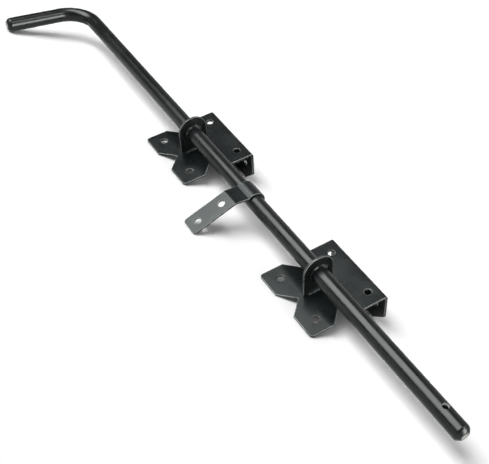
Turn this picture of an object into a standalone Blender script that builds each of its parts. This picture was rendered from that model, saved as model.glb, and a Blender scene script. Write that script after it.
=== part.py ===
"""A ground bolt for a gate leaf: a round bar bent into a handle, which slides
through the ring lugs of two folded guide plates, and a hook that holds its
handle up. The pieces lie as they come to rest on a level floor at z = 0, with
the bar along Y, its handle at +Y and its tip at -Y."""

import math

import bmesh
import bpy
from mathutils import Matrix, Vector

# The bar, in metres
BAR_DIAMETER = 0.016
BAR_LENGTH = 0.700
BEND_RADIUS = 0.031
HANDLE_REACH = 0.0965
END_CHAMFER = 0.0034
PIN_HOLE_DIAMETER = 0.006
PIN_HOLE_FROM_TIP = 0.025

# Where the loose pieces stand along the bar
TIP_BELOW_LOWER_GUIDE = 0.192
GUIDE_SPACING = 0.226
HOOK_ABOVE_LOWER_GUIDE = 0.1157

# A guide plate: one sheet, cut with three square notches and folded once
PLATE_SHEET = 0.0025
PLATE_LENGTH = 0.083
PLATE_LEFT_REACH = 0.0365
PLATE_RIGHT_REACH = 0.0455
NOTCH_DEPTH = 0.0146
EAR_TIP_WIDTH = 0.0244
EAR_CORNER_RADIUS = 0.0032
BLUNT_CORNER_RADIUS = 0.0012
FOLD_RADIUS = 0.0036
FLANGE_DEPTH = 0.0433
FLANGE_CORNER_CUT = 0.0144
SCREW_HOLE_DIAMETER = 0.007
SCREW_HOLE_SPACING = 0.0556
SCREW_HOLE_FROM_FOLD = 0.0121
FLANGE_HOLE_DEPTH = 0.0216

# The ring lug that is welded on each plate
LUG_THICKNESS = 0.002
LUG_WIDTH = 0.031
LUG_CENTRE_HEIGHT = 0.0213
LUG_HOLE_CLEARANCE = 0.0015
LUG_ROUND_RISE = 0.0039
LUG_SIDE_SHIFT = 0.0013
WELD_LEG = 0.0022
WELD_END_INSET = 0.0015

# The handle's rest hook: one strip, folded twice and curled
HOOK_SHEET = 0.002
HOOK_WIDTH = 0.021
HOOK_CLEARANCE = 0.001
HOOK_TAB_LENGTH = 0.0481
HOOK_STANDOFF = 0.0055
HOOK_RAMP_RUN = 0.0134
HOOK_FOLD_RADIUS = 0.003
HOOK_CREASE_RADIUS = 0.002
HOOK_CREASE_ANGLE = math.radians(106)
HOOK_LIP = 0.004
HOOK_CORNER_RADIUS = 0.0025
HOOK_SCREW_HOLE_DIAMETER = 0.007
HOOK_HOLE_FROM_END = 0.0105
HOOK_HOLE_SPACING = 0.0275

# Edges and seats
EDGE_ROUND = 0.0004
SEAT_GAP = 0.0003

# Steps that the round forms are cut into
BAR_SIDES = 48
BEND_STEPS = 20
HOLE_SIDES = 32
FOLD_STEPS = 6
CORNER_STEPS = 5
LUG_TOP_STEPS = 40
HOOK_CURL_STEPS = 32
EDGE_STEPS = 1
ROUND_ANGLE = math.radians(35)

# How far a cutter runs past the sheet that it cuts
CUTTER_OVERRUN = 0.002

BAR_RADIUS = BAR_DIAMETER / 2
LUG_RADIUS = LUG_WIDTH / 2
LUG_HOLE_RADIUS = BAR_RADIUS + LUG_HOLE_CLEARANCE
HOOK_INNER_RADIUS = BAR_RADIUS + HOOK_CLEARANCE
HOOK_OUTER_RADIUS = HOOK_INNER_RADIUS + HOOK_SHEET
BLACK_COAT = (0.018, 0.022, 0.022, 1.0)


def turned(x, z, angle):
    """A point of the XZ plane, turned so that +X rises by the angle."""
    return (
        x * math.cos(angle) - z * math.sin(angle),
        x * math.sin(angle) + z * math.cos(angle),
    )


def guide_lie():
    """How a guide lies on its left ears and its flange's foot: its tilt, and
    the height of its own origin, the upper face's middle under the ring."""
    ear = (-PLATE_LEFT_REACH + EDGE_ROUND, -PLATE_SHEET)
    foot = (PLATE_RIGHT_REACH - PLATE_SHEET + EDGE_ROUND, -FLANGE_DEPTH)
    tilt = math.atan2(ear[1] - foot[1], foot[0] - ear[0])
    return tilt, -turned(*ear, tilt)[1]


GUIDE_TILT, GUIDE_HEIGHT = guide_lie()
RING_X, RING_RISE = turned(0, LUG_CENTRE_HEIGHT, GUIDE_TILT)

# The bar rests low in the rings, and the hook rests low on the bar.
BAR_HEIGHT = GUIDE_HEIGHT + RING_RISE - LUG_HOLE_CLEARANCE + SEAT_GAP
HOOK_HEIGHT = BAR_HEIGHT - HOOK_CLEARANCE + SEAT_GAP


def angle_to_floor(height, along, across):
    """How far an arm that leaves a pivot at this height must turn down for the
    corner at (along, across) of its end to come to SEAT_GAP above the floor."""
    drop = (height - SEAT_GAP) / math.hypot(along, across)
    return math.asin(drop) - math.atan2(across, along)


HANDLE_DROP = angle_to_floor(BAR_HEIGHT, HANDLE_REACH - END_CHAMFER, BAR_RADIUS)

# The hook's own origin is the middle of its curl, and its tab's outer face
# lies HOOK_FACE_HEIGHT above it.
HOOK_FACE_HEIGHT = HOOK_OUTER_RADIUS + HOOK_STANDOFF
HOOK_CREASE = (
    HOOK_OUTER_RADIUS * math.cos(HOOK_CREASE_ANGLE),
    HOOK_OUTER_RADIUS * math.sin(HOOK_CREASE_ANGLE),
)
HOOK_FOLD_X = HOOK_CREASE[0] - HOOK_RAMP_RUN
HOOK_END_X = HOOK_FOLD_X - HOOK_TAB_LENGTH
HOOK_TILT = angle_to_floor(
    HOOK_HEIGHT,
    -HOOK_END_X - EDGE_ROUND,
    -(HOOK_FACE_HEIGHT - HOOK_SHEET),
)

# The whole thing is set with the middle of its box over the origin.
HANDLE_END_X = -HANDLE_REACH * math.cos(HANDLE_DROP)
HANDLE_END_X -= (BAR_RADIUS - END_CHAMFER) * math.sin(HANDLE_DROP)
FLANGE_FOOT_Z = -FLANGE_DEPTH + EDGE_ROUND
FLANGE_FOOT_X = turned(PLATE_RIGHT_REACH, FLANGE_FOOT_Z, GUIDE_TILT)[0] - RING_X
BAR_X = -(HANDLE_END_X + FLANGE_FOOT_X) / 2
TIP_Y = -BAR_LENGTH / 2
HANDLE_Y = BAR_LENGTH / 2 - BAR_RADIUS
LOWER_GUIDE_Y = TIP_Y + TIP_BELOW_LOWER_GUIDE
UPPER_GUIDE_Y = LOWER_GUIDE_Y + GUIDE_SPACING
HOOK_Y = LOWER_GUIDE_Y + HOOK_ABOVE_LOWER_GUIDE


def clear_scene():
    for obj in list(bpy.data.objects):
        bpy.data.objects.remove(obj)


def make_collection(name):
    collection = bpy.data.collections.new(name)
    bpy.context.scene.collection.children.link(collection)
    return collection


def make_material(name, color, roughness, metallic):
    material = bpy.data.materials.new(name)
    material.use_nodes = True
    shader = material.node_tree.nodes["Principled BSDF"]
    shader.inputs["Base Color"].default_value = color
    shader.inputs["Roughness"].default_value = roughness
    shader.inputs["Metallic"].default_value = metallic
    return material


def place_empty(name, collection, location, rotation_y):
    empty = bpy.data.objects.new(name, None)
    empty.location = location
    empty.rotation_euler = (0, rotation_y, 0)
    collection.objects.link(empty)
    return empty


def place_mesh(name, mesh, collection, parent, offset=(0, 0, 0)):
    obj = bpy.data.objects.new(name, mesh)
    obj.parent = parent
    obj.location = offset
    collection.objects.link(obj)
    return obj


def mesh_from(bm, name):
    mesh = bpy.data.meshes.new(name)
    bmesh.ops.recalc_face_normals(bm, faces=bm.faces)
    bm.to_mesh(mesh)
    bm.free()
    return mesh


def finish_look(obj, material):
    obj.data.materials.append(material)
    obj.data.shade_smooth()
    obj.data.set_sharp_from_angle(angle=ROUND_ANGLE)


def arc_points(centre, radius, start, end, steps):
    """Points on an arc, from one angle to another."""
    points = []
    for step in range(steps + 1):
        angle = start + (end - start) * step / steps
        x = centre[0] + radius * math.cos(angle)
        y = centre[1] + radius * math.sin(angle)
        points.append((x, y))
    return points


def rounded(before, corner, after, radius, steps):
    """The corner between two neighbours, as an arc of this radius."""
    corner = Vector(corner)
    back = (Vector(before) - corner).normalized()
    on = (Vector(after) - corner).normalized()
    half = back.angle(on) / 2
    centre = corner + (back + on).normalized() * radius / math.sin(half)
    first = corner + back * radius / math.tan(half) - centre
    last = corner + on * radius / math.tan(half) - centre
    start = math.atan2(first.y, first.x)
    sweep = first.angle_signed(last)
    return arc_points(centre, radius, start, start - sweep, steps)


def outline_points(corners):
    """A closed outline from (x, y, radius) corners; radius 0 stays sharp."""
    points = []
    for index, (x, y, radius) in enumerate(corners):
        if radius == 0:
            points.append((x, y))
            continue
        before = corners[index - 1][:2]
        after = corners[(index + 1) % len(corners)][:2]
        points += rounded(before, (x, y), after, radius, CORNER_STEPS)
    return points


def add_thickness(obj, thickness):
    """Solidify on the side away from the faces' normals."""
    modifier = obj.modifiers.new("sheet", "SOLIDIFY")
    modifier.thickness = thickness
    modifier.offset = -1
    modifier.use_even_offset = True


def add_cut(obj, cutter):
    modifier = obj.modifiers.new("cut_" + cutter.name, "BOOLEAN")
    modifier.operation = "DIFFERENCE"
    modifier.object = cutter


def add_edge_round(obj):
    modifier = obj.modifiers.new("edges", "BEVEL")
    modifier.width = EDGE_ROUND
    modifier.segments = EDGE_STEPS
    modifier.limit_method = "ANGLE"
    modifier.angle_limit = ROUND_ANGLE
    modifier.use_clamp_overlap = False


def round_cutter(name, collection, parent, centre, axis, radius, length):
    """A cylinder along one axis of its parent, for the Booleans."""
    bm = bmesh.new()
    bmesh.ops.create_cone(
        bm,
        cap_ends=True,
        segments=HOLE_SIDES,
        radius1=radius,
        radius2=radius,
        depth=length,
    )
    if axis != "Z":
        about = "Y" if axis == "X" else "X"
        quarter_turn = Matrix.Rotation(math.pi / 2, 3, about)
        bmesh.ops.rotate(bm, verts=bm.verts, matrix=quarter_turn)
    cutter = place_mesh(name, mesh_from(bm, name), collection, parent, centre)
    cutter.hide_render = True
    cutter.display_type = "WIRE"
    return cutter


def bar_path():
    """The bar's middle line in its own frame: up the bar, round the bend and
    out along the handle, which leaves towards -X."""
    bend_centre = (-BEND_RADIUS, HANDLE_Y - BEND_RADIUS)
    bend = arc_points(bend_centre, BEND_RADIUS, 0, math.pi / 2, BEND_STEPS)
    return [(0, TIP_Y)] + bend + [(-HANDLE_REACH, HANDLE_Y)]


def bar_curve():
    points = bar_path()
    curve = bpy.data.curves.new("bar_path", "CURVE")
    curve.dimensions = "3D"
    curve.bevel_depth = BAR_RADIUS
    curve.bevel_resolution = (BAR_SIDES - 4) // 2
    curve.use_fill_caps = True
    spline = curve.splines.new("POLY")
    spline.points.add(len(points) - 1)
    for point, (x, y) in zip(spline.points, points):
        point.co = (x, y, 0, 1)
    return curve


def chamfer_bar_ends(bm):
    """A 45 degree chamfer round both sawn ends, whose rims are the only edges
    with a right angle between their faces."""
    rims = [edge for edge in bm.edges if edge.calc_face_angle() > math.pi / 4]
    bmesh.ops.bevel(
        bm,
        geom=rims,
        offset=END_CHAMFER,
        offset_type="OFFSET",
        segments=1,
        affect="EDGES",
        clamp_overlap=False,
    )


def make_bar(collection, cutters, parent):
    guide_line = bpy.data.objects.new("bar_path", bar_curve())
    collection.objects.link(guide_line)
    graph = bpy.context.evaluated_depsgraph_get()
    mesh = bpy.data.meshes.new_from_object(guide_line.evaluated_get(graph))
    bpy.data.objects.remove(guide_line)
    bm = bmesh.new()
    bm.from_mesh(mesh)
    bmesh.ops.remove_doubles(bm, verts=bm.verts, dist=EDGE_ROUND / 100)
    chamfer_bar_ends(bm)
    bar = place_mesh("bar", mesh_from(bm, "bar"), collection, parent)
    hole = round_cutter(
        "pin_hole_cutter",
        cutters,
        parent,
        (0, TIP_Y + PIN_HOLE_FROM_TIP, 0),
        "Z",
        PIN_HOLE_DIAMETER / 2,
        BAR_DIAMETER + CUTTER_OVERRUN,
    )
    add_cut(bar, hole)
    finish_look(bar, make_material("bar_coat", BLACK_COAT, 0.34, 0.0))
    return bar


def plate_outline():
    """The flat part of a guide plate, as it is punched: a rectangle with a
    square notch in the left side and in each end, which leaves two ears.
    It runs from the fold's far end round to its near end."""
    half = PLATE_LENGTH / 2
    left, right = -PLATE_LEFT_REACH, PLATE_RIGHT_REACH
    ear_end = left + EAR_TIP_WIDTH
    notch_x = ear_end + NOTCH_DEPTH
    blunt = BLUNT_CORNER_RADIUS
    far_side = [
        (right, half, 0),
        (notch_x + NOTCH_DEPTH, half, blunt),
        (notch_x, half - NOTCH_DEPTH, blunt),
        (ear_end, half, blunt),
        (left, half, EAR_CORNER_RADIUS),
        (left, NOTCH_DEPTH, blunt),
    ]
    middle = [(left + NOTCH_DEPTH, 0, blunt)]
    near_side = [(x, -y, radius) for x, y, radius in reversed(far_side)]
    return outline_points(far_side + middle + near_side)


def flange_outline():
    """The flange's corners as (y, z), below the fold."""
    half = PLATE_LENGTH / 2
    shoulder = -FLANGE_DEPTH + FLANGE_CORNER_CUT
    foot = half - FLANGE_CORNER_CUT
    near = [(-half, shoulder), (-foot, -FLANGE_DEPTH)]
    return near + [(-y, z) for y, z in reversed(near)]


def plate_surface(name):
    """The outer face of the folded sheet: the plate and its flange meet in one
    edge, which a bevel turns into the fold."""
    bm = bmesh.new()
    flat = [bm.verts.new((x, y, 0)) for x, y in plate_outline()]
    bm.faces.new(flat)
    far_corner, near_corner = flat[0], flat[-1]
    right = PLATE_RIGHT_REACH
    foot = [bm.verts.new((right, y, z)) for y, z in flange_outline()]
    bm.faces.new([far_corner, near_corner] + foot)
    fold = bm.edges.get((far_corner, near_corner))
    bmesh.ops.recalc_face_normals(bm, faces=bm.faces)
    if max(bm.faces, key=lambda face: face.calc_area()).normal.z < 0:
        bmesh.ops.reverse_faces(bm, faces=bm.faces)
    bmesh.ops.bevel(
        bm,
        geom=[fold],
        offset=FOLD_RADIUS,
        offset_type="OFFSET",
        segments=FOLD_STEPS,
        profile=0.5,
        affect="EDGES",
    )
    mesh = bpy.data.meshes.new(name)
    bm.to_mesh(mesh)
    bm.free()
    return mesh


def screw_hole_places():
    """(centre, axis) of the six screw holes of a guide plate."""
    middle_z = -PLATE_SHEET / 2
    fold_row_x = PLATE_RIGHT_REACH - SCREW_HOLE_FROM_FOLD
    ear_row_x = fold_row_x - SCREW_HOLE_SPACING
    flange_x = PLATE_RIGHT_REACH - PLATE_SHEET / 2
    places = []
    for y in (SCREW_HOLE_SPACING / 2, -SCREW_HOLE_SPACING / 2):
        places.append(((fold_row_x, y, middle_z), "Z"))
        places.append(((ear_row_x, y, middle_z), "Z"))
        places.append(((flange_x, y, -FLANGE_HOLE_DEPTH), "X"))
    return places


def make_guide_plate(name, collection, cutters, parent):
    plate = place_mesh(name, plate_surface(name), collection, parent)
    add_thickness(plate, PLATE_SHEET)
    for index, (centre, axis) in enumerate(screw_hole_places()):
        cutter = round_cutter(
            f"{name}_hole_cutter_{index + 1}",
            cutters,
            parent,
            centre,
            axis,
            SCREW_HOLE_DIAMETER / 2,
            PLATE_SHEET + CUTTER_OVERRUN,
        )
        add_cut(plate, cutter)
    add_edge_round(plate)
    finish_look(plate, make_material(name + "_coat", BLACK_COAT, 0.4, 0.0))
    return plate


def lug_outline():
    """The lug's outline as (x, z): square foot, straight sides, round top. The
    round top stands higher than the ring's hole, and a little to its left."""
    middle = -LUG_SIDE_SHIFT
    centre = (middle, LUG_CENTRE_HEIGHT + LUG_ROUND_RISE)
    top = arc_points(centre, LUG_RADIUS, 0, math.pi, LUG_TOP_STEPS)
    foot = [(middle - LUG_RADIUS, SEAT_GAP), (middle + LUG_RADIUS, SEAT_GAP)]
    return foot + top


def prism(bm, outline, to_point, thickness_step):
    """A flat outline as a face, drawn out along one vector."""
    face = bm.faces.new([bm.verts.new(to_point(a, b)) for a, b in outline])
    drawn = bmesh.ops.extrude_face_region(bm, geom=[face])
    moved = [item for item in drawn["geom"] if isinstance(item, bmesh.types.BMVert)]
    bmesh.ops.translate(bm, verts=moved, vec=thickness_step)


def weld_mesh(name):
    """Both fillet welds at the lug's foot as one bar, which the lug runs
    through."""
    leg_y = LUG_THICKNESS / 2 + WELD_LEG
    top_y = LUG_THICKNESS / 2 - EDGE_ROUND
    top_z = SEAT_GAP + WELD_LEG + EDGE_ROUND
    section = [(-leg_y, SEAT_GAP), (leg_y, SEAT_GAP), (top_y, top_z), (-top_y, top_z)]
    half = LUG_RADIUS - WELD_END_INSET
    end_x = -LUG_SIDE_SHIFT - half
    bm = bmesh.new()
    prism(bm, section, lambda y, z: (end_x, y, z), (2 * half, 0, 0))
    return mesh_from(bm, name)


def make_ring_lug(name, collection, cutters, parent):
    half = LUG_THICKNESS / 2
    bm = bmesh.new()
    prism(bm, lug_outline(), lambda x, z: (x, -half, z), (0, LUG_THICKNESS, 0))
    lug = place_mesh(name, mesh_from(bm, name), collection, parent)
    hole = round_cutter(
        name + "_hole_cutter",
        cutters,
        parent,
        (0, 0, LUG_CENTRE_HEIGHT),
        "Y",
        LUG_HOLE_RADIUS,
        LUG_THICKNESS + CUTTER_OVERRUN,
    )
    add_cut(lug, hole)
    add_edge_round(lug)
    weld = place_mesh(name + "_weld", weld_mesh(name + "_weld"), cutters, parent)
    weld.hide_render = True
    weld.display_type = "WIRE"
    union = lug.modifiers.new("weld", "BOOLEAN")
    union.operation = "UNION"
    union.object = weld
    finish_look(lug, make_material(name + "_coat", BLACK_COAT, 0.4, 0.0))
    return lug


def hook_line():
    """The hook's outer face in profile, as (x, z) from the curl's middle: the
    tab, the fold, the ramp, the crease, the curl round the handle and the lip."""
    end = (HOOK_END_X, HOOK_FACE_HEIGHT)
    fold = (HOOK_FOLD_X, HOOK_FACE_HEIGHT)
    radius = HOOK_OUTER_RADIUS
    crease, *curl = arc_points(
        (0, 0), radius, HOOK_CREASE_ANGLE, -math.pi / 2, HOOK_CURL_STEPS
    )
    fold_arc = rounded(end, fold, crease, HOOK_FOLD_RADIUS, FOLD_STEPS)
    crease_arc = rounded(fold, crease, curl[0], HOOK_CREASE_RADIUS, FOLD_STEPS)
    lip = (-HOOK_LIP, -radius)
    return [end] + fold_arc + crease_arc + curl + [lip]


def hook_surface(name):
    """The strip's outer face, with its four corners rounded."""
    half = HOOK_WIDTH / 2
    line = hook_line()
    bm = bmesh.new()
    rows = []
    for x, z in line:
        rows.append((bm.verts.new((x, -half, z)), bm.verts.new((x, half, z))))
    for (near, far), (next_near, next_far) in zip(rows, rows[1:]):
        bm.faces.new((near, next_near, next_far, far))
    corners = [*rows[0], *rows[-1]]
    bmesh.ops.bevel(
        bm,
        geom=corners,
        offset=HOOK_CORNER_RADIUS,
        offset_type="OFFSET",
        segments=CORNER_STEPS,
        profile=0.5,
        affect="VERTICES",
    )
    mesh = bpy.data.meshes.new(name)
    bm.to_mesh(mesh)
    bm.free()
    return mesh


def make_rest_hook(collection, cutters, parent):
    hook = place_mesh("rest_hook", hook_surface("rest_hook"), collection, parent)
    add_thickness(hook, HOOK_SHEET)
    first_x = HOOK_END_X + HOOK_HOLE_FROM_END
    middle_z = HOOK_FACE_HEIGHT - HOOK_SHEET / 2
    for index, x in enumerate((first_x, first_x + HOOK_HOLE_SPACING)):
        cutter = round_cutter(
            f"rest_hook_hole_cutter_{index + 1}",
            cutters,
            parent,
            (x, 0, middle_z),
            "Z",
            HOOK_SCREW_HOLE_DIAMETER / 2,
            HOOK_SHEET + CUTTER_OVERRUN,
        )
        add_cut(hook, cutter)
    add_edge_round(hook)
    finish_look(hook, make_material("rest_hook_coat", BLACK_COAT, 0.38, 0.0))
    return hook


def make_guide(side, y, collection, cutters):
    """A guide plate and its lug on an empty, which lies as the guide does."""
    origin = (BAR_X - RING_X, y, GUIDE_HEIGHT)
    frame = place_empty(side + "_guide_frame", collection, origin, -GUIDE_TILT)
    make_guide_plate(side + "_guide_plate", collection, cutters, frame)
    make_ring_lug(side + "_ring_lug", collection, cutters, frame)


def main():
    clear_scene()
    parts = make_collection("ground_bolt")
    cutters = make_collection("cutters")
    make_guide("upper", UPPER_GUIDE_Y, parts, cutters)
    make_guide("lower", LOWER_GUIDE_Y, parts, cutters)
    slide_axis = place_empty("slide_axis", parts, (BAR_X, 0, BAR_HEIGHT), -HANDLE_DROP)
    make_bar(parts, cutters, slide_axis)
    hook_frame = place_empty("hook_frame", parts, (BAR_X, HOOK_Y, HOOK_HEIGHT), -HOOK_TILT)
    make_rest_hook(parts, cutters, hook_frame)


main()
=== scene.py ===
# %% [markdown]
# # A gate's ground bolt, dressed for its picture
#
# The real thing is a round steel bar, bent into a handle, that slides through
# two welded guides, with a folded hook to hang the handle in. All of it is
# powder-coated black. The shape and the sizes come with the frame, which is
# loaded first. What this lesson adds is the surface: rolled edges, weld beads,
# the skin of the coat, the light and the camera.

import math

import bmesh
import bpy
from mathutils import Matrix, Quaternion, Vector


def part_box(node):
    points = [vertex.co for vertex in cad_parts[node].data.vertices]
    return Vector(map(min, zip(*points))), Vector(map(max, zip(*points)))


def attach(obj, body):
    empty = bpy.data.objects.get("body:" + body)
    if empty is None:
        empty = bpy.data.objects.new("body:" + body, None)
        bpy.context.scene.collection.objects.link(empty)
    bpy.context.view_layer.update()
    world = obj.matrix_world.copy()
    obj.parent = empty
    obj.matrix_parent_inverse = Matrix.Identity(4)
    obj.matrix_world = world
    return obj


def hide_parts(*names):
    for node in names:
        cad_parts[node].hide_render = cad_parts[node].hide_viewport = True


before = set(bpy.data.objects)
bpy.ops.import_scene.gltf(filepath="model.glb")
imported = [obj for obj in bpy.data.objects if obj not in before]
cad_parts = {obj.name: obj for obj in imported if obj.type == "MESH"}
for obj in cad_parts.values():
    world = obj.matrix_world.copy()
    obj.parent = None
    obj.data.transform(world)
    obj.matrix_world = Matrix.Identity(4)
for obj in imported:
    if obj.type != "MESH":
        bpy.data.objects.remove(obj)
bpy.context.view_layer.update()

# %% [markdown]
# ## The camera
#
# A camera can be placed by eye, but here its place is the one that lines the
# frame's own corners up with the picture. It looks down on the bolt from the
# side of the tip. It is also rolled about its own line of sight, which is why
# the level bar runs from corner to corner of the picture.

# %% Place the camera
CAMERA_PLACE = Vector((-0.5252, -0.5732, 0.4305))
CAMERA_AIM = Vector((-0.0219, -0.0880, 0.0300))
CAMERA_ROLL = math.radians(23.915)
CAMERA_LENS = 65.84
SENSOR_WIDTH = 36.0

camera = bpy.data.objects.new("camera", bpy.data.cameras.new("camera"))
bpy.context.scene.collection.objects.link(camera)
camera.data.lens = CAMERA_LENS
camera.data.sensor_width = SENSOR_WIDTH
camera.location = CAMERA_PLACE
level_view = (CAMERA_AIM - CAMERA_PLACE).to_track_quat("-Z", "Y")
camera.rotation_mode = "QUATERNION"
camera.rotation_quaternion = level_view @ Quaternion((0, 0, 1), CAMERA_ROLL)
bpy.context.scene.camera = camera
print("camera is", round((CAMERA_AIM - CAMERA_PLACE).length, 3), "m from its aim")

# %% [markdown]
# ## Where the pieces lie
#
# Every piece is drawn in a frame of its own, in which it is easy to describe,
# and is then turned and moved to where it lies. The bar's frame has its origin
# on the bar's middle line. A guide lies on its two left ears and on the foot of
# its flange, so its tilt follows from its own sizes, and so does the hook's.
# The bar's line is read from the frame's boxes, so nothing has to be fitted.
# All sizes here and below are in metres.

# %% Where the bar lies
BAR_RADIUS = 0.008
HANDLE_REACH = 0.0965
END_CHAMFER = 0.0034
SEAT_GAP = 0.0003


def lie_at(x, y, z, angle):
    """The matrix of a piece whose own +X rises by the angle."""
    return Matrix.Translation((x, y, z)) @ Matrix.Rotation(-angle, 4, "Y")


def turn_to_floor(height, along, across):
    """How far an arm at this height turns down for its corner to meet the floor."""
    drop = (height - SEAT_GAP) / math.hypot(along, across)
    return math.asin(drop) - math.atan2(across, along)


bar_low, bar_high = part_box("bar")
bar_x = bar_high.x - BAR_RADIUS
bar_height = bar_high.z - BAR_RADIUS
tip_y = bar_low.y
handle_y = bar_high.y - BAR_RADIUS
handle_drop = turn_to_floor(bar_height, HANDLE_REACH - END_CHAMFER, BAR_RADIUS)
bar_lie = lie_at(bar_x, 0, bar_height, handle_drop)
print("the handle drops by", round(math.degrees(handle_drop), 1), "degrees")

# %% Where the guides lie
RESTING_EDGE_ROUND = 0.0004
PLATE_SHEET = 0.0025
PLATE_LEFT_REACH = 0.0365
PLATE_RIGHT_REACH = 0.0455
FLANGE_DEPTH = 0.0433
LUG_CENTRE_HEIGHT = 0.0213


def turned(x, z, angle):
    """A point of the XZ plane, turned so that +X rises by the angle."""
    cosine = math.cos(angle)
    sine = math.sin(angle)
    return x * cosine - z * sine, x * sine + z * cosine


ear = (RESTING_EDGE_ROUND - PLATE_LEFT_REACH, -PLATE_SHEET)
foot = (PLATE_RIGHT_REACH - PLATE_SHEET + RESTING_EDGE_ROUND, -FLANGE_DEPTH)
guide_tilt = math.atan2(ear[1] - foot[1], foot[0] - ear[0])
guide_height = -turned(*ear, guide_tilt)[1]
guide_x = bar_x - turned(0, LUG_CENTRE_HEIGHT, guide_tilt)[0]


def guide_lie(side):
    low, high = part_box(side + "_guide_plate")
    return lie_at(guide_x, (low.y + high.y) / 2, guide_height, guide_tilt)


print("the guides tilt by", round(math.degrees(guide_tilt), 1), "degrees")

# %% Where the hook lies
HOOK_SHEET = 0.002
HOOK_INNER_RADIUS = 0.009
HOOK_OUTER_RADIUS = HOOK_INNER_RADIUS + HOOK_SHEET
HOOK_STANDOFF = 0.0055
HOOK_RAMP_RUN = 0.0134
HOOK_TAB_LENGTH = 0.0481
HOOK_CREASE_ANGLE = math.radians(106)

hook_face = HOOK_OUTER_RADIUS + HOOK_STANDOFF
hook_crease_x = HOOK_OUTER_RADIUS * math.cos(HOOK_CREASE_ANGLE)
hook_fold_x = hook_crease_x - HOOK_RAMP_RUN
hook_end_x = hook_fold_x - HOOK_TAB_LENGTH
hook_height = bar_height - (HOOK_INNER_RADIUS - BAR_RADIUS) + SEAT_GAP
hook_tilt = turn_to_floor(
    hook_height, -hook_end_x - RESTING_EDGE_ROUND, HOOK_SHEET - hook_face
)
hook_low, hook_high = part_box("rest_hook")
hook_lie = lie_at(bar_x, (hook_low.y + hook_high.y) / 2, hook_height, hook_tilt)
print("the hook tilts by", round(math.degrees(hook_tilt), 1), "degrees")

# %% [markdown]
# ## Tools of the workshop
#
# Sheet metal is cut to an outline, folded and punched, and the helpers below
# follow that order. An outline with rounded corners becomes one face. Solidify
# gives it the sheet's thickness, and Bevel rolls its sharp edges over. Boolean
# then punches the holes, with a punch that flares at both faces, so that the
# rims of the hole come out rounded too.
#
# Bevel and Boolean can each put the faces that they make into a material slot
# of their own, which is how rolled edges and rims get their thinner coat, whose
# lighter colour is partly a painted highlight along them. At the end Triangulate
# cuts up the many-sided faces, and Weld joins the points that all but touch. All
# of these could stay live modifiers, but they are written into the mesh, so that
# each finished piece is one plain, closed mesh.

# %% Outlines with rounded corners
CORNER_STEPS = 10


def arc_points(centre, radius, start, end, steps):
    """Points on an arc, from one angle to another."""
    points = []
    for step in range(steps + 1):
        angle = start + (end - start) * step / steps
        x = centre[0] + radius * math.cos(angle)
        y = centre[1] + radius * math.sin(angle)
        points.append((x, y))
    return points


def rounded(before, corner, after, radius, steps):
    """The corner between two neighbours, as an arc of this radius."""
    corner = Vector(corner)
    back = (Vector(before) - corner).normalized()
    on = (Vector(after) - corner).normalized()
    half = back.angle(on) / 2
    centre = corner + (back + on).normalized() * radius / math.sin(half)
    first = corner + back * radius / math.tan(half) - centre
    last = corner + on * radius / math.tan(half) - centre
    start = math.atan2(first.y, first.x)
    return arc_points(centre, radius, start, start - first.angle_signed(last), steps)


def rounded_outline(corners):
    """A closed outline from (x, y, radius) corners; radius 0 stays sharp."""
    points = []
    for index, (x, y, radius) in enumerate(corners):
        if radius == 0:
            points.append((x, y))
            continue
        before = corners[index - 1][:2]
        after = corners[(index + 1) % len(corners)][:2]
        points += rounded(before, (x, y), after, radius, CORNER_STEPS)
    return points


print("an arc of a corner has", CORNER_STEPS, "steps")

# %% New objects, and cutters turned on a lathe
HOLE_SIDES = 64
SAME_PLACE = 0.000001


def mesh_object(name, bm):
    """Hand a bmesh over to a new object in the scene."""
    mesh = bpy.data.meshes.new(name)
    bm.to_mesh(mesh)
    bm.free()
    piece = bpy.data.objects.new(name, mesh)
    bpy.context.scene.collection.objects.link(piece)
    return piece


def lathe_cutter(profile, lie):
    """A round cutter from (radius, height) points, turned about its own Z."""
    bm = bmesh.new()
    ring = [bm.verts.new((radius, 0, height)) for radius, height in profile]
    edges = [bm.edges.new(pair) for pair in zip(ring, ring[1:])]
    bmesh.ops.spin(
        bm,
        geom=ring + edges,
        cent=(0, 0, 0),
        axis=(0, 0, 1),
        angle=math.tau,
        steps=HOLE_SIDES,
        use_merge=True,
    )
    bmesh.ops.remove_doubles(bm, verts=bm.verts, dist=SAME_PLACE)
    bmesh.ops.recalc_face_normals(bm, faces=bm.faces)
    cutter = mesh_object("cutter", bm)
    cutter.matrix_world = lie
    cutter.hide_render = True
    return cutter


print("round holes have", HOLE_SIDES, "sides")

# %% Thickness and rolled edges
# The edges' slot holds the greyer thin coat, made lighter as a painted highlight.
EDGE_HIGHLIGHT_SLOT = 1
SMOOTH_ANGLE = math.radians(32)
ROLL_STEPS = 4


def add_thickness(piece, thickness):
    """Solidify away from the faces' normals, so the drawn face stays put."""
    modifier = piece.modifiers.new("sheet", "SOLIDIFY")
    modifier.thickness = thickness
    modifier.offset = -1
    modifier.use_even_offset = True


def roll_edges(piece, width):
    """Round the sharp edges, into the slot of the edges' coat and painted highlight.
    """
    modifier = piece.modifiers.new("edges", "BEVEL")
    modifier.width = width
    modifier.segments = ROLL_STEPS
    modifier.limit_method = "ANGLE"
    modifier.angle_limit = SMOOTH_ANGLE
    modifier.use_clamp_overlap = False
    modifier.material = EDGE_HIGHLIGHT_SLOT


print("a rolled edge has", ROLL_STEPS, "steps")

# %% Punched holes
COAT_SLOT = 0
RIM_ROUND = 0.0004
RIM_STEPS = 3


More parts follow.
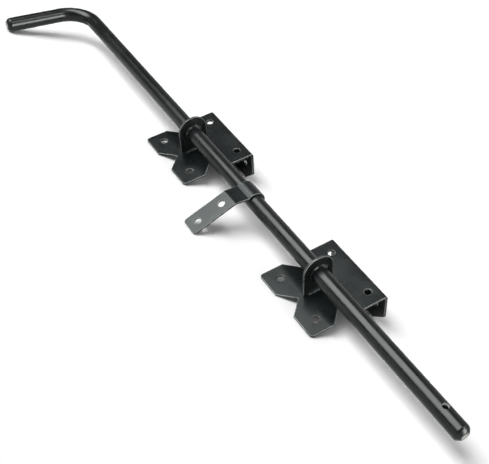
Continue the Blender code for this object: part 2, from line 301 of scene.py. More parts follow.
def hole_cutter(radius, sheet, lie, rim_slot=EDGE_HIGHLIGHT_SLOT):
    """A punch that flares at both faces of the sheet, to round the hole's rims."""
    corner = (radius + RIM_ROUND, sheet / 2 - RIM_ROUND)
    rim = arc_points(corner, RIM_ROUND, math.pi, math.pi / 2, RIM_STEPS)
    above = sheet / 2 + RIM_ROUND
    upper = rim + [(corner[0], above), (0, above)]
    lower = [(out, -up) for out, up in reversed(upper)]
    cutter = lathe_cutter(lower + upper, lie)
    for face in cutter.data.polygons:
        on_rim = abs(face.center.z) > corner[1]
        # Rims take rim_slot, by default the edges' coat with its painted highlight.
        face.material_index = rim_slot if on_rim else COAT_SLOT
    return cutter


def punch(piece, cutter):
    """Cut the hole; its faces keep the material slots that the cutter gave them."""
    modifier = piece.modifiers.new("punch", "BOOLEAN")
    modifier.operation = "DIFFERENCE"
    modifier.material_mode = "INDEX"
    modifier.object = cutter


print("a punched rim has", RIM_STEPS, "steps")

# %% Write the modifiers into the mesh, and hand the piece over
MANY_SIDES = 5
CRUMB_SIZE = 0.000002


def finish_piece(piece, materials, body, node=None):
    """Make one plain mesh, dress it and join it to the body that carries it."""
    for material in materials:
        piece.data.materials.append(material)
    facets = piece.modifiers.new("facets", "TRIANGULATE")
    facets.min_vertices = MANY_SIDES
    crumbs = piece.modifiers.new("crumbs", "WELD")
    crumbs.merge_threshold = CRUMB_SIZE
    bpy.context.view_layer.update()
    graph = bpy.context.evaluated_depsgraph_get()
    mesh = bpy.data.meshes.new_from_object(piece.evaluated_get(graph))
    cutters = [m.object for m in piece.modifiers if m.type == "BOOLEAN"]
    piece.modifiers.clear()
    piece.data = mesh
    mesh.name = piece.name
    for cutter in cutters:
        bpy.data.objects.remove(cutter)
    mesh.shade_smooth()
    mesh.set_sharp_from_angle(angle=SMOOTH_ANGLE)
    normals = piece.modifiers.new("normals", "WEIGHTED_NORMAL")
    normals.keep_sharp = True
    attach(piece, body)
    if node:
        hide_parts(node)
    print(piece.name, "has", len(mesh.polygons), "faces")


print("points closer than", 1000 * CRUMB_SIZE, "mm are welded")

# %% [markdown]
# ## The skin of a powder coat
#
# A powder coat is plastic that was dusted on dry and melted in an oven. It
# flows nearly flat, but keeps a fine orange peel, about two millimetres from
# hill to hill and only microns deep. Its colour and its gloss drift slightly,
# where it lies thicker or was handled. All the coats here share these traits,
# so they are one shader node group, placed in each material with its own
# strength. The group gives only a height and two masks. The shader itself stays
# in the material, where its constants are set on its own sockets.


# %% A helper for node groups
def new_group(name, inputs, outputs):
    """An empty shader node group with float sockets; inputs have defaults."""
    tree = bpy.data.node_groups.new(name, "ShaderNodeTree")
    for label, default in inputs.items():
        socket = tree.interface.new_socket(
            label, in_out="INPUT", socket_type="NodeSocketFloat"
        )
        socket.default_value = default
    for label in outputs:
        tree.interface.new_socket(
            label, in_out="OUTPUT", socket_type="NodeSocketFloat"
        )
    start = tree.nodes.new("NodeGroupInput")
    end = tree.nodes.new("NodeGroupOutput")
    return tree, start, end


print("new_group gives a group its sockets")


# %% Helpers for noise, maths and ranges
def add_noise(tree, scale, detail):
    """A noise texture in the piece's own coordinates."""
    place = tree.nodes.new("ShaderNodeTexCoord")
    noise = tree.nodes.new("ShaderNodeTexNoise")
    noise.inputs["Scale"].default_value = scale
    noise.inputs["Detail"].default_value = detail
    tree.links.new(place.outputs["Object"], noise.inputs["Vector"])
    return noise


def add_math(tree, operation, first, second):
    """A math node; each operand is a socket."""
    node = tree.nodes.new("ShaderNodeMath")
    node.operation = operation
    tree.links.new(first, node.inputs[0])
    tree.links.new(second, node.inputs[1])
    return node.outputs[0]


def add_range(tree, value, low, high, to_low=0.0, to_high=1.0):
    """Stretch a value's range, clamped at both ends."""
    node = tree.nodes.new("ShaderNodeMapRange")
    node.interpolation_type = "SMOOTHSTEP"
    node.inputs["From Min"].default_value = low
    node.inputs["From Max"].default_value = high
    node.inputs["To Min"].default_value = to_low
    node.inputs["To Max"].default_value = to_high
    tree.links.new(value, node.inputs["Value"])
    return node.outputs["Result"]


print("add_noise, add_math and add_range put nodes into a tree")

# %% The coat's skin
PEEL_SCALE = 420
GRIT_SCALE = 1900
DRIFT_SCALE = 38
DRIFT_REACH = (0.3, 0.7)
SPECK_SCALE = 900
SPECK_REACH = (0.72, 0.78)


def make_coat_skin():
    tree, start, end = new_group(
        "coat_skin", {"Peel": 1.0, "Grit": 0.25}, ["Height", "Drift", "Specks"]
    )
    peel = add_noise(tree, PEEL_SCALE, detail=1.0)
    grit = add_noise(tree, GRIT_SCALE, detail=2.0)
    drift = add_noise(tree, DRIFT_SCALE, detail=4.0)
    specks = add_noise(tree, SPECK_SCALE, detail=1.0)
    hills = add_math(tree, "MULTIPLY", peel.outputs["Fac"], start.outputs["Peel"])
    grains = add_math(tree, "MULTIPLY", grit.outputs["Fac"], start.outputs["Grit"])
    height = add_math(tree, "ADD", hills, grains)
    drifted = add_range(tree, drift.outputs["Fac"], *DRIFT_REACH)
    speckled = add_range(tree, specks.outputs["Fac"], *SPECK_REACH)
    tree.links.new(height, end.inputs["Height"])
    tree.links.new(drifted, end.inputs["Drift"])
    tree.links.new(speckled, end.inputs["Specks"])
    return tree


coat_skin = make_coat_skin()
print("coat_skin has", len(coat_skin.nodes), "nodes")

# %% [markdown]
# ## The coats
#
# Each coat is the same black plastic, on a Principled shader that is not
# metallic. A coat this dark shows mostly through its reflections, so its faint
# tints are in Specular Tint: a little green on the sheets, and nearly grey on
# the bar. The index of refraction is lower than a clear plastic's, because a
# satin coat with its fine dust reflects less than polished plastic.
#
# Only thin edges differ: melted powder draws back from a sharp edge, so the
# coat there is greyer and duller. The edge coat is the same recipe with a
# lighter colour, partly for that thinner coat and partly as a painted highlight
# along the edges. It could be a mask in one material, but the tools above sort
# out the rolled faces anyway, so a second slot is simpler.

# %% The coats' recipe
PEEL_DEPTH = 0.000012
GRIT_SHARE = 0.2
COAT_IOR = 1.34


def mix_colours(tree, factor, first, second):
    node = tree.nodes.new("ShaderNodeMix")
    node.data_type = "RGBA"
    node.inputs["A"].default_value = first
    node.inputs["B"].default_value = second
    tree.links.new(factor, node.inputs["Factor"])
    return node.outputs["Result"]


def make_coat(name, dark, light, sheen, gloss, peel):
    """A powder coat; gloss is the pair of roughnesses that it drifts between."""
    material = bpy.data.materials.new(name)
    material.use_nodes = True
    tree = material.node_tree
    shader = tree.nodes["Principled BSDF"]
    shader.inputs["IOR"].default_value = COAT_IOR
    shader.inputs["Specular Tint"].default_value = sheen
    skin = tree.nodes.new("ShaderNodeGroup")
    skin.node_tree = coat_skin
    skin.inputs["Peel"].default_value = peel
    skin.inputs["Grit"].default_value = GRIT_SHARE
    tone = add_math(tree, "MAXIMUM", skin.outputs["Drift"], skin.outputs["Specks"])
    colour = mix_colours(tree, tone, dark, light)
    tree.links.new(colour, shader.inputs["Base Color"])
    roughness = add_range(tree, skin.outputs["Drift"], 0.0, 1.0, *gloss)
    tree.links.new(roughness, shader.inputs["Roughness"])
    bump = tree.nodes.new("ShaderNodeBump")
    bump.inputs["Distance"].default_value = PEEL_DEPTH
    tree.links.new(skin.outputs["Height"], bump.inputs["Height"])
    tree.links.new(bump.outputs["Normal"], shader.inputs["Normal"])
    return material


print("the coats reflect like an index of refraction of", COAT_IOR)

# %% Mix the four coats
COAT_DARK = (0.0032, 0.0042, 0.0044, 1.0)
COAT_LIGHT = (0.0068, 0.0084, 0.0087, 1.0)
# The edges' colours: a greyer thin coat, made lighter still as a painted highlight.
EDGE_HIGHLIGHT_DARK = (0.090, 0.100, 0.100, 1.0)
EDGE_HIGHLIGHT_LIGHT = (0.290, 0.310, 0.305, 1.0)
GREEN_SHEEN = (0.91, 1.0, 0.98, 1.0)
GREY_SHEEN = (0.97, 1.0, 0.985, 1.0)
BAR_GLOSS = (0.24, 0.29)
SHEET_GLOSS = (0.25, 0.31)
EDGE_GLOSS = (0.30, 0.40)
BAR_PEEL = 0.8
SHEET_PEEL = 1.0

bar_coat = make_coat(
    "bar_powder", COAT_DARK, COAT_LIGHT, GREY_SHEEN, BAR_GLOSS, BAR_PEEL
)
guide_coat = make_coat(
    "guide_powder", COAT_DARK, COAT_LIGHT, GREEN_SHEEN, SHEET_GLOSS, SHEET_PEEL
)
hook_coat = make_coat(
    "hook_powder", COAT_DARK, COAT_LIGHT, GREEN_SHEEN, SHEET_GLOSS, SHEET_PEEL
)
# The edge coat's lighter colour is partly a painted highlight along every rolled edge
# and rim.
edge_coat_and_highlight = make_coat(
    "edge_powder_and_highlight", EDGE_HIGHLIGHT_DARK, EDGE_HIGHLIGHT_LIGHT, GREY_SHEEN, EDGE_GLOSS, SHEET_PEEL
)
print("coats:", bar_coat.name, guide_coat.name, hook_coat.name, edge_coat_and_highlight.name)

# %% [markdown]
# ## Bare steel
#
# The bar was sawn to length, and its two end faces took hardly any powder. They
# show as pale, dull steel. The cross hole was drilled through the coat, so the
# outer part of its wall is bare too, and brighter because the cut is fresh. One
# recipe makes both. A blade leaves close parallel scratches, so the height is a
# wave across the cut, and the colour drifts between a paler and a darker grey.
# A metallic value of 1 would be clean metal. It is kept well below that,
# because a thin dusting of powder lies on the steel.

# %% The recipe for bare steel
SCRATCH_SCALE = 260
SCRATCH_DEPTH = 0.00004
SCRATCH_BEND = 3.0
SCRATCH_TONE_REACH = (0.05, 0.5)
STEEL_METALLIC = 0.4
STEEL_GLOSS = (0.45, 0.6)


def make_bare_steel(name, grey, pale):
    material = bpy.data.materials.new(name)
    material.use_nodes = True
    tree = material.node_tree
    shader = tree.nodes["Principled BSDF"]
    shader.inputs["Metallic"].default_value = STEEL_METALLIC
    place = tree.nodes.new("ShaderNodeTexCoord")
    scratches = tree.nodes.new("ShaderNodeTexWave")
    scratches.bands_direction = "Z"
    scratches.inputs["Scale"].default_value = SCRATCH_SCALE
    scratches.inputs["Distortion"].default_value = SCRATCH_BEND
    tree.links.new(place.outputs["Object"], scratches.inputs["Vector"])
    drift = add_noise(tree, SCRATCH_SCALE, detail=3.0)
    height = scratches.outputs["Fac"]
    tone = add_math(tree, "MULTIPLY", height, drift.outputs["Fac"])
    tone = add_range(tree, tone, *SCRATCH_TONE_REACH)
    colour = mix_colours(tree, tone, grey, pale)
    tree.links.new(colour, shader.inputs["Base Color"])
    roughness = add_range(tree, drift.outputs["Fac"], *DRIFT_REACH, *STEEL_GLOSS)
    tree.links.new(roughness, shader.inputs["Roughness"])
    bump = tree.nodes.new("ShaderNodeBump")
    bump.inputs["Distance"].default_value = SCRATCH_DEPTH
    tree.links.new(height, bump.inputs["Height"])
    tree.links.new(bump.outputs["Normal"], shader.inputs["Normal"])
    return material


print("the scratches are", 1000 * SCRATCH_DEPTH, "mm deep")

# %% Sawn and drilled steel
SAWN_PALE = (0.44, 0.435, 0.375, 1.0)
SAWN_GREY = (0.24, 0.25, 0.23, 1.0)
DRILLED_PALE = (0.86, 0.86, 0.84, 1.0)
DRILLED_GREY = (0.52, 0.53, 0.52, 1.0)

sawn_steel = make_bare_steel("sawn_steel", SAWN_GREY, SAWN_PALE)
drilled_steel = make_bare_steel("drilled_steel", DRILLED_GREY, DRILLED_PALE)
print("bare steel:", sawn_steel.name, drilled_steel.name)

# %% [markdown]
# ## The bar
#
# The bar is drawn steel, cut, chamfered at both ends and bent cold round a
# former. A curve with a round bevel follows that making: the line is straight
# to the bend, then an arc, then straight again. A chamfer is a one-step bevel
# on the two rims, and its own two edges are then rolled over.
#
# The pin's cross hole is drilled last and without a countersink. The drill is a
# turned profile in three rows of faces, so that the outer rows can leave bare
# steel in the hole, and the middle row the dark coat. Extra points on the bar's
# line, just before and after the hole, keep the cut's long faces short.

# %% The bar's line
BEND_RADIUS = 0.031
BEND_STEPS = 48
PIN_HOLE_FROM_TIP = 0.025
HOLE_ZONE = 0.006


def bar_line():
    """The bar's middle line, from the tip up and round into the handle."""
    hole_y = tip_y + PIN_HOLE_FROM_TIP
    straight = [(0, tip_y), (0, hole_y - HOLE_ZONE), (0, hole_y + HOLE_ZONE)]
    centre = (-BEND_RADIUS, handle_y - BEND_RADIUS)
    bend = arc_points(centre, BEND_RADIUS, 0, math.pi / 2, BEND_STEPS)
    return straight + bend + [(-HANDLE_REACH, handle_y)]


print("the bar's line has", len(bar_line()), "points")

# %% Round bar stock along the line
BAR_SIDES = 128


def round_bar_mesh(points):
    curve = bpy.data.curves.new("bar_line", "CURVE")
    curve.dimensions = "3D"
    curve.bevel_depth = BAR_RADIUS
    # A round bevel has four sides, and two more for each step of resolution.
    curve.bevel_resolution = (BAR_SIDES - 4) // 2
    curve.use_fill_caps = True
    spline = curve.splines.new("POLY")
    spline.points.add(len(points) - 1)
    for point, (x, y) in zip(spline.points, points):
        point.co = (x, y, 0, 1)
    line = bpy.data.objects.new("bar_line", curve)
    bpy.context.scene.collection.objects.link(line)
    graph = bpy.context.evaluated_depsgraph_get()
    mesh = bpy.data.meshes.new_from_object(line.evaluated_get(graph))
    bpy.data.objects.remove(line)
    return mesh


print("the bar has", BAR_SIDES, "sides")

# %% Chamfer the sawn ends
SAWN_SLOT = 2
CHAMFERED_ANGLE = math.radians(45)
FLAT_ANGLE = math.radians(0.5)


def chamfered_bar():
    bm = bmesh.new()
    bm.from_mesh(round_bar_mesh(bar_line()))
    bmesh.ops.remove_doubles(bm, verts=bm.verts, dist=SAME_PLACE)
    bmesh.ops.bevel(
        bm,
        geom=[e for e in bm.edges if e.calc_face_angle() > CHAMFERED_ANGLE],
        offset=END_CHAMFER,
        offset_type="OFFSET",
        segments=1,
        affect="EDGES",
        clamp_overlap=False,
    )
    bmesh.ops.dissolve_limit(
        bm, angle_limit=FLAT_ANGLE, verts=bm.verts, edges=bm.edges
    )
    for face in bm.faces:
        sawn = len(face.verts) > BAR_SIDES // 2
        face.material_index = SAWN_SLOT if sawn else COAT_SLOT
    print("sawn faces:", sum(face.material_index == SAWN_SLOT for face in bm.faces))
    return mesh_object("round_bar", bm)


bar = chamfered_bar()

# %% Roll the chamfers' edges, drill the hole and coat the bar
DRILLED_SLOT = 3
BAR_END_ROLL = 0.0012
PIN_HOLE_RADIUS = 0.003
BARE_DEPTH = 0.0028


def pin_hole_drill():
    outside = BAR_RADIUS + BARE_DEPTH
    coated = BAR_RADIUS - BARE_DEPTH
    side = [(PIN_HOLE_RADIUS, z) for z in (-outside, -coated, coated, outside)]
    profile = [(0, -outside), *side, (0, outside)]
    place = Matrix.Translation((0, tip_y + PIN_HOLE_FROM_TIP, 0))
    drill = lathe_cutter(profile, place)
    for face in drill.data.polygons:
        bare = abs(face.center.z) > coated
        face.material_index = DRILLED_SLOT if bare else COAT_SLOT
    return drill


roll_edges(bar, BAR_END_ROLL)
punch(bar, pin_hole_drill())
bar_materials = [bar_coat, bar_coat, sawn_steel, drilled_steel]
finish_piece(bar, bar_materials, "bar", "bar")
bar.data.transform(bar_lie)

# %% [markdown]
# ## The guide plates
#
# Each guide is one sheet, cut out and then folded by a right angle along one
# side. Three square notches leave two pointed ears and a narrow waist. The
# drawn face is the plate's upper side and the flange's outer side. They share
# one edge, and a bevel on that edge is the fold. Solidify then works on the
# folded face, so the inside of the fold is tighter by the sheet's thickness, as
# it is in real folded steel. A real sheet has its holes punched while it is
# flat. Here they come last, because Bevel and Solidify do their work more
# cleanly on faces without holes.

# %% The outline of a guide plate
PLATE_LENGTH = 0.083
NOTCH_DEPTH = 0.0146
EAR_TIP_WIDTH = 0.0244
EAR_CORNER_RADIUS = 0.0032
BLUNT_CORNER_RADIUS = 0.0012


def plate_outline():
    """The flat part, from the fold's far end round to its near end."""
    half = PLATE_LENGTH / 2
    left = -PLATE_LEFT_REACH
    ear_end = left + EAR_TIP_WIDTH
    notch_x = ear_end + NOTCH_DEPTH
    blunt = BLUNT_CORNER_RADIUS
    far_side = [
        (PLATE_RIGHT_REACH, half, 0),
        (notch_x + NOTCH_DEPTH, half, blunt),
        (notch_x, half - NOTCH_DEPTH, blunt),
        (ear_end, half, blunt),
        (left, half, EAR_CORNER_RADIUS),
        (left, NOTCH_DEPTH, blunt),
    ]
    near_side = [(x, -y, radius) for x, y, radius in reversed(far_side)]
    return rounded_outline(far_side + [(left + NOTCH_DEPTH, 0, blunt)] + near_side)


print("the plate's outline has", len(plate_outline()), "points")

# %% Fold the flange
FLANGE_CORNER_CUT = 0.0144
FOLD_RADIUS = 0.0036
FOLD_STEPS = 14


def folded_sheet(name):
    """The plate and its flange as one face folded along their shared edge."""
    half = PLATE_LENGTH / 2
    shoulder = FLANGE_CORNER_CUT - FLANGE_DEPTH
    near = [(-half, shoulder), (FLANGE_CORNER_CUT - half, -FLANGE_DEPTH)]
    outline = near + [(-y, z) for y, z in reversed(near)]
    bm = bmesh.new()
    flat = [bm.verts.new((x, y, 0)) for x, y in plate_outline()]
    flange = [bm.verts.new((PLATE_RIGHT_REACH, y, z)) for y, z in outline]
    plate_face = bm.faces.new(flat)
    bm.faces.new([flat[0], flat[-1]] + flange)
    bmesh.ops.recalc_face_normals(bm, faces=bm.faces)
    if plate_face.normal.z < 0:
        bmesh.ops.reverse_faces(bm, faces=bm.faces)
    bmesh.ops.bevel(
        bm,
        geom=[bm.edges.get((flat[0], flat[-1]))],
        offset=FOLD_RADIUS,
        offset_type="OFFSET",
        segments=FOLD_STEPS,
        profile=0.5,
        affect="EDGES",
    )
    return mesh_object(name, bm)


print("the fold has", FOLD_STEPS, "steps")

# %% Punch the screw holes, and lay both guides down
PLATE_ROLL = 0.0005
SCREW_HOLE_RADIUS = 0.0035
SCREW_HOLE_SPACING = 0.0556
SCREW_HOLE_FROM_FOLD = 0.0121
FLANGE_HOLE_DEPTH = 0.0216


def make_guide_plate(side):
    plate = folded_sheet(side + "_folded_plate")
    add_thickness(plate, PLATE_SHEET)
    roll_edges(plate, PLATE_ROLL)
    fold_row = PLATE_RIGHT_REACH - SCREW_HOLE_FROM_FOLD
    across = Matrix.Rotation(math.pi / 2, 4, "Y")
    for y in (SCREW_HOLE_SPACING / 2, -SCREW_HOLE_SPACING / 2):
        for x in (fold_row, fold_row - SCREW_HOLE_SPACING):
            place = Matrix.Translation((x, y, -PLATE_SHEET / 2))
            punch(plate, hole_cutter(SCREW_HOLE_RADIUS, PLATE_SHEET, place))
        flange_x = PLATE_RIGHT_REACH - PLATE_SHEET / 2
        place = Matrix.Translation((flange_x, y, -FLANGE_HOLE_DEPTH))
        punch(plate, hole_cutter(SCREW_HOLE_RADIUS, PLATE_SHEET, place @ across))
    finish_piece(
        plate, [guide_coat, edge_coat_and_highlight], "guides", side + "_guide_plate"
    )
    plate.data.transform(guide_lie(side))


for side in ("upper", "lower"):
    make_guide_plate(side)

# %% [markdown]
# ## The ring lugs
#
# A ring lug is a flat blank with a square foot and a round top, bored for the
# bar. The round top is struck from a point above the bore and a little to its
# left, so the ring is thicker over the bar than beside it. A lug is made with
# the same tools as a plate. Its bore is rounded at the rims too, but has the
# plain coat there, without the edges' painted highlight, because it is dark all
# round on the real one.

# %% Cut, bore and set up the lugs
LUG_THICKNESS = 0.002
LUG_RADIUS = 0.0155
LUG_HOLE_RADIUS = 0.0095
LUG_ROUND_RISE = 0.0039
LUG_ROUND_SHIFT = -0.0013
LUG_TOP_STEPS = 64
LUG_ROLL = 0.00045


def make_ring_lug(side):
    half = LUG_THICKNESS / 2
    middle = LUG_ROUND_SHIFT
    centre = (middle, LUG_CENTRE_HEIGHT + LUG_ROUND_RISE)
    top = arc_points(centre, LUG_RADIUS, 0, math.pi, LUG_TOP_STEPS)
    foot = [(middle - LUG_RADIUS, SEAT_GAP), (middle + LUG_RADIUS, SEAT_GAP)]
    bm = bmesh.new()
    blank = bm.faces.new([bm.verts.new((x, half, z)) for x, z in foot + top])
    blank.normal_update()
    if blank.normal.y < 0:
        blank.normal_flip()
    lug = mesh_object(side + "_bored_lug", bm)
    add_thickness(lug, LUG_THICKNESS)
    roll_edges(lug, LUG_ROLL)
    place = Matrix.Translation((0, 0, LUG_CENTRE_HEIGHT))
    place = place @ Matrix.Rotation(math.pi / 2, 4, "X")
    punch(lug, hole_cutter(LUG_HOLE_RADIUS, LUG_THICKNESS, place, COAT_SLOT))
    finish_piece(
        lug, [guide_coat, edge_coat_and_highlight], "guides", side + "_ring_lug"
    )
    lug.data.transform(guide_lie(side))


for side in ("upper", "lower"):
    make_ring_lug(side)

# %% [markdown]
# ## The weld beads
#
# Each lug stands across its plate and is welded along both sides of its foot. A
# weld bead is laid in a row of small overlapping puddles, so its section swells
# and sinks as it runs, and it thins out at both ends. A texture could only
# shade such ripples. A grid of section points that breathe along the bead gives
# them a real form, and it stays a closed shape.

# %% The bead's size and section
WELD_LEG = 0.0019
BEAD_HALF_LENGTH = 0.0138
BEAD_ARC_STEPS = 8
BEAD_END_SHARE = 0.25
BEAD_END_POWER = 6
BEAD_FULLNESS = 0.86
PUDDLE_LENGTH = 0.0021
PUDDLE_SWELL = 0.12


def bead_size(along):
    """The bead's leg at a place from -1 to 1 along it."""
    puddles = math.sin(math.tau * along * BEAD_HALF_LENGTH / PUDDLE_LENGTH)
    taper = math.sqrt(max(0.0, 1 - abs(along) ** BEAD_END_POWER))
    share = BEAD_END_SHARE + (1 - BEAD_END_SHARE) * taper
    return WELD_LEG * share * (1 + PUDDLE_SWELL * puddles)


def bead_section(size):
    """The corner, then a bulging arc from the plate up to the lug."""
    arc = arc_points((0, 0), size, 0, math.pi / 2, BEAD_ARC_STEPS)
    bulge = [(BEAD_FULLNESS * out, BEAD_FULLNESS * up) for out, up in arc[1:-1]]
    return [(0, 0), arc[0]] + bulge + [arc[-1]]


print("a bead is", round(1000 * bead_size(0), 2), "mm high in its middle")

# %% Lay the weld beads
BEAD_STEPS = 90


def make_weld(side, face):
    """A bead on the lug's far face (1) or near face (-1)."""
    bm = bmesh.new()
    rows = []
    for step in range(BEAD_STEPS + 1):
        along = 2 * step / BEAD_STEPS - 1
        row = []
        for out, up in bead_section(bead_size(along)):
            y = face * (LUG_THICKNESS / 2 + out)
            row.append(bm.verts.new((along * BEAD_HALF_LENGTH, y, up + SEAT_GAP)))
        rows.append(row)
    for row, after in zip(rows, rows[1:]):
        for index in range(len(row)):
            bm.faces.new((row[index - 1], row[index], after[index], after[index - 1]))
    bm.faces.new(rows[0])
    bm.faces.new(rows[-1])
    bmesh.ops.recalc_face_normals(bm, faces=bm.faces)
    weld = mesh_object(f"{side}_weld_{'far' if face > 0 else 'near'}", bm)
    finish_piece(weld, [guide_coat], "guides")
    weld.data.transform(guide_lie(side))


for side in ("upper", "lower"):
    for face in (1, -1):
        make_weld(side, face)

# %% [markdown]
# ## The rest hook
#
# The hook is a strip with two screw holes. It is folded down from its tab, and
# then rolled round the bar into a curl with a short lip. Its profile is drawn
# once, as the outer side of the strip, and swept across the strip's width. The
# four corners are rounded before Solidify, while they are still single points.

# %% The hook's profile
HOOK_FOLD_RADIUS = 0.003
HOOK_CREASE_RADIUS = 0.002
HOOK_CURL_STEPS = 72
HOOK_LIP = 0.004


def hook_line():
    """The strip's outer face in profile, from the tab's end to the lip."""
    end = (hook_end_x, hook_face)
    fold = (hook_fold_x, hook_face)
    radius = HOOK_OUTER_RADIUS
    crease, *curl = arc_points(
        (0, 0), radius, HOOK_CREASE_ANGLE, -math.pi / 2, HOOK_CURL_STEPS
    )
    fold_arc = rounded(end, fold, crease, HOOK_FOLD_RADIUS, FOLD_STEPS)
    crease_arc = rounded(fold, crease, curl[2], HOOK_CREASE_RADIUS, FOLD_STEPS)
    return [end] + fold_arc + crease_arc + curl[2:] + [(-HOOK_LIP, -radius)]


print("the hook's profile has", len(hook_line()), "points")

# %% Bend, punch and coat the hook
HOOK_WIDTH = 0.021
HOOK_CORNER_RADIUS = 0.0032
HOOK_ROLL = 0.00036
HOOK_HOLE_RADIUS = 0.0035
HOOK_HOLE_FROM_END = 0.0105
HOOK_HOLE_SPACING = 0.0275


def bent_strip():
    half = HOOK_WIDTH / 2
    bm = bmesh.new()
    rows = []
    for x, z in hook_line():
        rows.append((bm.verts.new((x, -half, z)), bm.verts.new((x, half, z))))
    for (near, far), (next_near, next_far) in zip(rows, rows[1:]):
        bm.faces.new((near, next_near, next_far, far))
    bmesh.ops.bevel(
        bm,
        geom=[*rows[0], *rows[-1]],
        offset=HOOK_CORNER_RADIUS,
        offset_type="OFFSET",
        segments=CORNER_STEPS,
        profile=0.5,
        affect="VERTICES",
    )
    return mesh_object("folded_hook", bm)


hook = bent_strip()
add_thickness(hook, HOOK_SHEET)
roll_edges(hook, HOOK_ROLL)
for step in (0, 1):
    hole_x = hook_end_x + HOOK_HOLE_FROM_END + step * HOOK_HOLE_SPACING
    place = Matrix.Translation((hole_x, 0, hook_face - HOOK_SHEET / 2))
    punch(hook, hole_cutter(HOOK_HOLE_RADIUS, HOOK_SHEET, place))
finish_piece(hook, [hook_coat, edge_coat_and_highlight], "guides", "rest_hook")
hook.data.transform(hook_lie)

# %% [markdown]
# ## The floor
#
# The bolt lies on plain white paper. Paper that is only lit would come out a
# little grey, and stronger lamps would wash out the black coat instead. So the
# camera and the mirror images see a slightly brighter paper than the one that
# the light bounces off. Far from the bolt, beyond an oval that holds its
# shadow, it goes over into pure white, for the same rays only. Light Path tells
# the rays apart, so the bolt gets no extra light from it, only a whiter mirror
# image. Within the oval the paper has no light of its own, and this keeps the
# shadow.

# %% The oval that holds the shadow
SHADOW_SHAPE = (2.0, 1.0, 0.0)


def shadow_distance(tree):
    """How far out a place is, measured so that the oval is a circle."""
    place = tree.nodes.new("ShaderNodeTexCoord")
    shaped = tree.nodes.new("ShaderNodeVectorMath")
    shaped.operation = "MULTIPLY"
    shaped.inputs[1].default_value = SHADOW_SHAPE
    tree.links.new(place.outputs["Object"], shaped.inputs[0])
    distance = tree.nodes.new("ShaderNodeVectorMath")
    distance.operation = "LENGTH"
    tree.links.new(shaped.outputs[0], distance.inputs[0])
    return distance.outputs["Value"]


print("the oval is", SHADOW_SHAPE[0], "times as long as wide")

# %% The paper's material
PAPER_COLOUR = (0.90, 0.90, 0.90, 1.0)
SEEN_COLOUR = (1.06, 1.06, 1.06, 1.0)
SHADOW_REACH = (0.39, 0.60)


def make_paper():
    material = bpy.data.materials.new("white_floor")
    material.use_nodes = True
    tree = material.node_tree
    tree.nodes.remove(tree.nodes["Principled BSDF"])
    rays = tree.nodes.new("ShaderNodeLightPath").outputs
    mirrored = add_math(
        tree, "MAXIMUM", rays["Is Glossy Ray"], rays["Is Transmission Ray"]
    )
    looked_at = add_math(tree, "MAXIMUM", rays["Is Camera Ray"], mirrored)
    paper = tree.nodes.new("ShaderNodeBsdfDiffuse")
    colour = mix_colours(tree, looked_at, PAPER_COLOUR, SEEN_COLOUR)
    tree.links.new(colour, paper.inputs["Color"])
    white = tree.nodes.new("ShaderNodeEmission")
    far = add_range(tree, shadow_distance(tree), *SHADOW_REACH)
    seen = tree.nodes.new("ShaderNodeMixShader")
    tree.links.new(add_math(tree, "MULTIPLY", far, looked_at), seen.inputs["Fac"])
    tree.links.new(paper.outputs[0], seen.inputs[1])
    tree.links.new(white.outputs[0], seen.inputs[2])
    output = tree.nodes["Material Output"]
    tree.links.new(seen.outputs[0], output.inputs["Surface"])
    return material


paper = make_paper()
print("the paper has", len(paper.node_tree.nodes), "nodes")

# %% Lay the floor
FLOOR_SIZE = 16.0


def make_floor():
    bm = bmesh.new()
    bmesh.ops.create_grid(bm, x_segments=1, y_segments=1, size=FLOOR_SIZE / 2)
    floor = mesh_object("floor", bm)
    floor.data.materials.append(paper)


make_floor()
print("floor is", FLOOR_SIZE, "m square")

# %% [markdown]
# ## The lamps
#
# On a glossy black bar, what is seen is mostly the room. The long pale strip on
# the bar is the mirror image of one big softbox above and behind it, on its
# left. It ends where the lamp ends, and the far end of the bar stays dark. The
# streak on the handle is a second, lower lamp in front, and a third one
# overhead puts the glint on the chamfer of the tip. These three are seen in
# glossy surfaces only, so they can be as bright as their images have to be.
#
# The shadow comes from a fourth lamp, the key, which is stretched along the
# bar. It works the other way round: it lights everything, but isn't seen in
# glossy surfaces, so it adds no streak of its own. All four are ellipses, whose
# images have soft ends.


# %% A helper for lamps
def hang_lamp(name, way, distance, size, radiance, up):
    """A soft oval lamp that faces the bolt, of this brightness to look at."""
    lamp = bpy.data.lights.new(name, "AREA")
    lamp.shape = "ELLIPSE"
    lamp.size, lamp.size_y = size
    lamp.energy = radiance * math.pi * size[0] * size[1]
    holder = bpy.data.objects.new(name, lamp)
    bpy.context.scene.collection.objects.link(holder)
    back = way.normalized()
    side = up.cross(back).normalized()
    rise = back.cross(side)
    turn = Matrix((side, rise, back)).transposed().to_4x4()
    holder.matrix_world = Matrix.Translation(back * distance) @ turn
    holder.visible_camera = False
    print(name, "lamp gives", round(lamp.energy, 1), "W")
    return holder


ALONG = Vector((0, 1, 0))
UPWARD = Vector((0, 0, 1))
print("the second size of a lamp runs along", ALONG[:], "or", UPWARD[:])

# %% Hang the lamps that are seen in the gloss
BOX_WAY = Vector((-0.56, 0.38, 0.73))
BOX_DISTANCE = 4.1
BOX_SIZE = (4.7, 3.05)
BOX_RADIANCE = 8.7
FRONT_WAY = Vector((0.26, -0.94, 0.21))
FRONT_DISTANCE = 3.2
FRONT_SIZE = (1.8, 2.6)
FRONT_RADIANCE = 17.0
TOP_WAY = Vector((0.15, -0.38, 0.91))
TOP_DISTANCE = 3.6
TOP_SIZE = (2.4, 1.0)
TOP_RADIANCE = 8.5

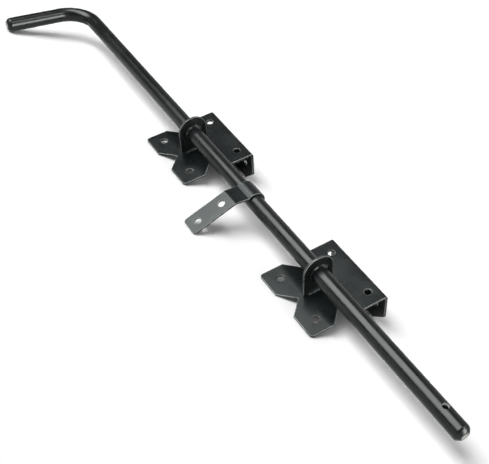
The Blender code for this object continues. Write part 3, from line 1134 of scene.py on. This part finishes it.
reflectors = [
    hang_lamp("softbox", BOX_WAY, BOX_DISTANCE, BOX_SIZE, BOX_RADIANCE, ALONG),
    hang_lamp("front", FRONT_WAY, FRONT_DISTANCE, FRONT_SIZE, FRONT_RADIANCE, UPWARD),
    hang_lamp("top", TOP_WAY, TOP_DISTANCE, TOP_SIZE, TOP_RADIANCE, ALONG),
]
for lamp in reflectors:
    lamp.visible_diffuse = False

# %% Hang the key lamp, which makes the shadow
KEY_WAY = Vector((-0.62, 0.05, 0.69))
KEY_DISTANCE = 3.0
KEY_SIZE = (1.3, 2.2)
KEY_RADIANCE = 10.2

key = hang_lamp("key", KEY_WAY, KEY_DISTANCE, KEY_SIZE, KEY_RADIANCE, ALONG)
key.visible_glossy = False

# %% [markdown]
# ## The world
#
# The world is the rest of the room. It fills the shadow a little, and its
# reflection is what gives the dark sides of the coat their depth. It is paler
# to the right, as a room with a pale wall on that side is, and dimmer on the
# left and far behind. A plain grey world would light the bolt as well, but its
# black sides would then all be the same grey. Separate XYZ reads the direction
# that a ray leaves in, and two ranges turn it into a strength.

# %% Light the world
LEFT_LEVEL = 0.22
RIGHT_LEVEL = 0.65
SIDE_REACH = (0.05, 0.45)
BEHIND_LEVEL = 0.3
BEHIND_REACH = (0.64, 0.82)


def make_world():
    world = bpy.data.worlds.new("studio")
    world.use_nodes = True
    tree = world.node_tree
    sky = tree.nodes["Background"]
    sky.inputs["Color"].default_value = (1.0, 1.0, 1.0, 1.0)
    place = tree.nodes.new("ShaderNodeTexCoord")
    split = tree.nodes.new("ShaderNodeSeparateXYZ")
    tree.links.new(place.outputs["Generated"], split.inputs[0])
    side = add_range(tree, split.outputs["X"], *SIDE_REACH, LEFT_LEVEL, RIGHT_LEVEL)
    behind = add_range(tree, split.outputs["Y"], *BEHIND_REACH, 1.0, BEHIND_LEVEL)
    tree.links.new(add_math(tree, "MULTIPLY", side, behind), sky.inputs["Strength"])
    return world


bpy.context.scene.world = make_world()
bpy.context.scene.view_settings.view_transform = "Standard"
print("world goes from", LEFT_LEVEL, "to", RIGHT_LEVEL)
